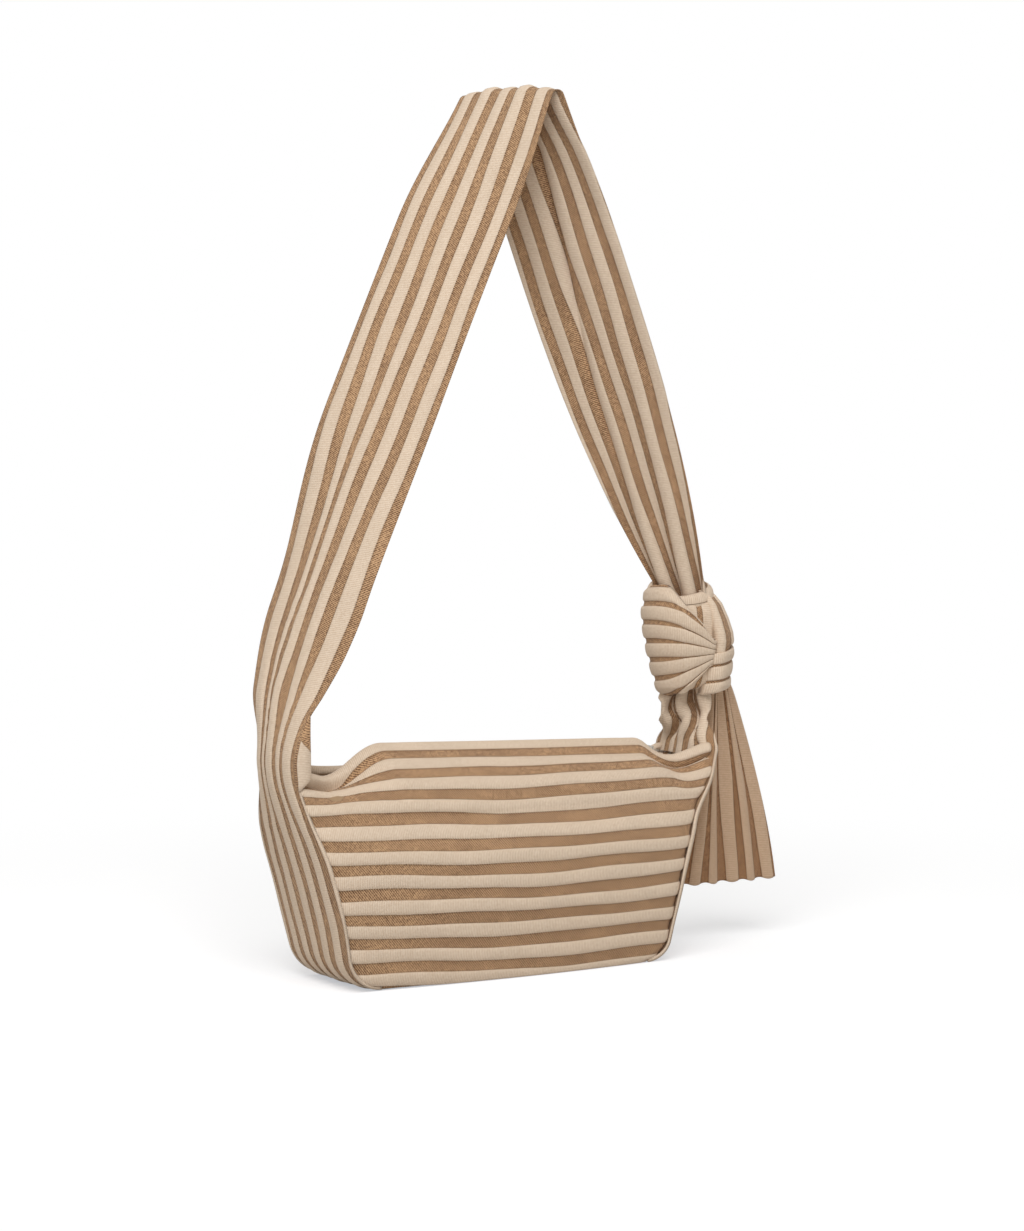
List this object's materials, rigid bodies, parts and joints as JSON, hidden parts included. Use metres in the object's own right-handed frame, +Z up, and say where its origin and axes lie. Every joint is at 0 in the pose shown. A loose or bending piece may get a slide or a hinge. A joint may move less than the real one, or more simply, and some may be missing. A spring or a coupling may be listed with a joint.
{
  "type": "shoulder bag",
  "caption": "Small zip-top shoulder bag of striped pleated knit, with one wide strap tied in a knot above its right end and a loose tail.",
  "frame": {"origin": "middle of the flat base, on the surface that the bag stands on", "axes": "+X towards the knot's end, +Y from the front panel to the back panel, +Z up"},
  "size_m": [0.3548, 0.088, 0.5055],
  "materials": {
    "striped_knit": "cream and tan pleated rib knit",
    "lining_cloth": "plain woven lining",
    "zip_tape": "woven tape",
    "zip_metal": "polished nickel"
  },
  "bodies": {
    "bag": {"front_panel": "striped_knit", "back_panel": "striped_knit", "left_gusset": "striped_knit", "right_gusset": "striped_knit", "base_panel": "striped_knit", "lining_front": "lining_cloth", "lining_back": "lining_cloth", "lining_band": "lining_cloth", "zip_tape_front": "zip_tape", "zip_tape_back": "zip_tape", "zip_teeth_front": "zip_metal", "zip_teeth_back": "zip_metal", "zip_bottom_stop": "zip_metal", "zip_top_stop_front": "zip_metal", "zip_top_stop_back": "zip_metal"},
    "strap": {"left_strap_root": "striped_knit", "long_strap": "striped_knit", "short_strap": "striped_knit", "knot_core": "striped_knit", "knot_wrap": "striped_knit", "knot_loop": "striped_knit"},
    "tail": {"tail": "striped_knit"},
    "zip_slider": {"zip_slider": "zip_metal"},
    "zip_puller": {"zip_puller": "zip_metal"}
  },
  "joints": [
    {"name": "strap_swing", "type": "hinge", "parent": "bag", "child": "strap", "pos_m": [0, 0, 0.146], "axis": [1, 0, 0], "range_deg": [-70, 70], "deforming": ["left_strap_root", "short_strap"]},
    {"name": "tail_swing", "type": "hinge", "parent": "strap", "child": "tail", "pos_m": [0.162, -0.008, 0.147], "axis": [1, 0, 0], "range_deg": [-40, 40]},
    {"name": "zip_slide", "type": "hinge", "parent": "bag", "child": "zip_slider", "pos_m": [0, 0, -0.43604], "axis": [0, -1, 0], "range_deg": [0, 22.8]},
    {"name": "puller_flip", "type": "hinge", "parent": "zip_slider", "child": "zip_puller", "pos_m": [0.11324, 0, 0.12131], "axis": [0, -1, 0], "range_deg": [0, 170]}
  ]
}
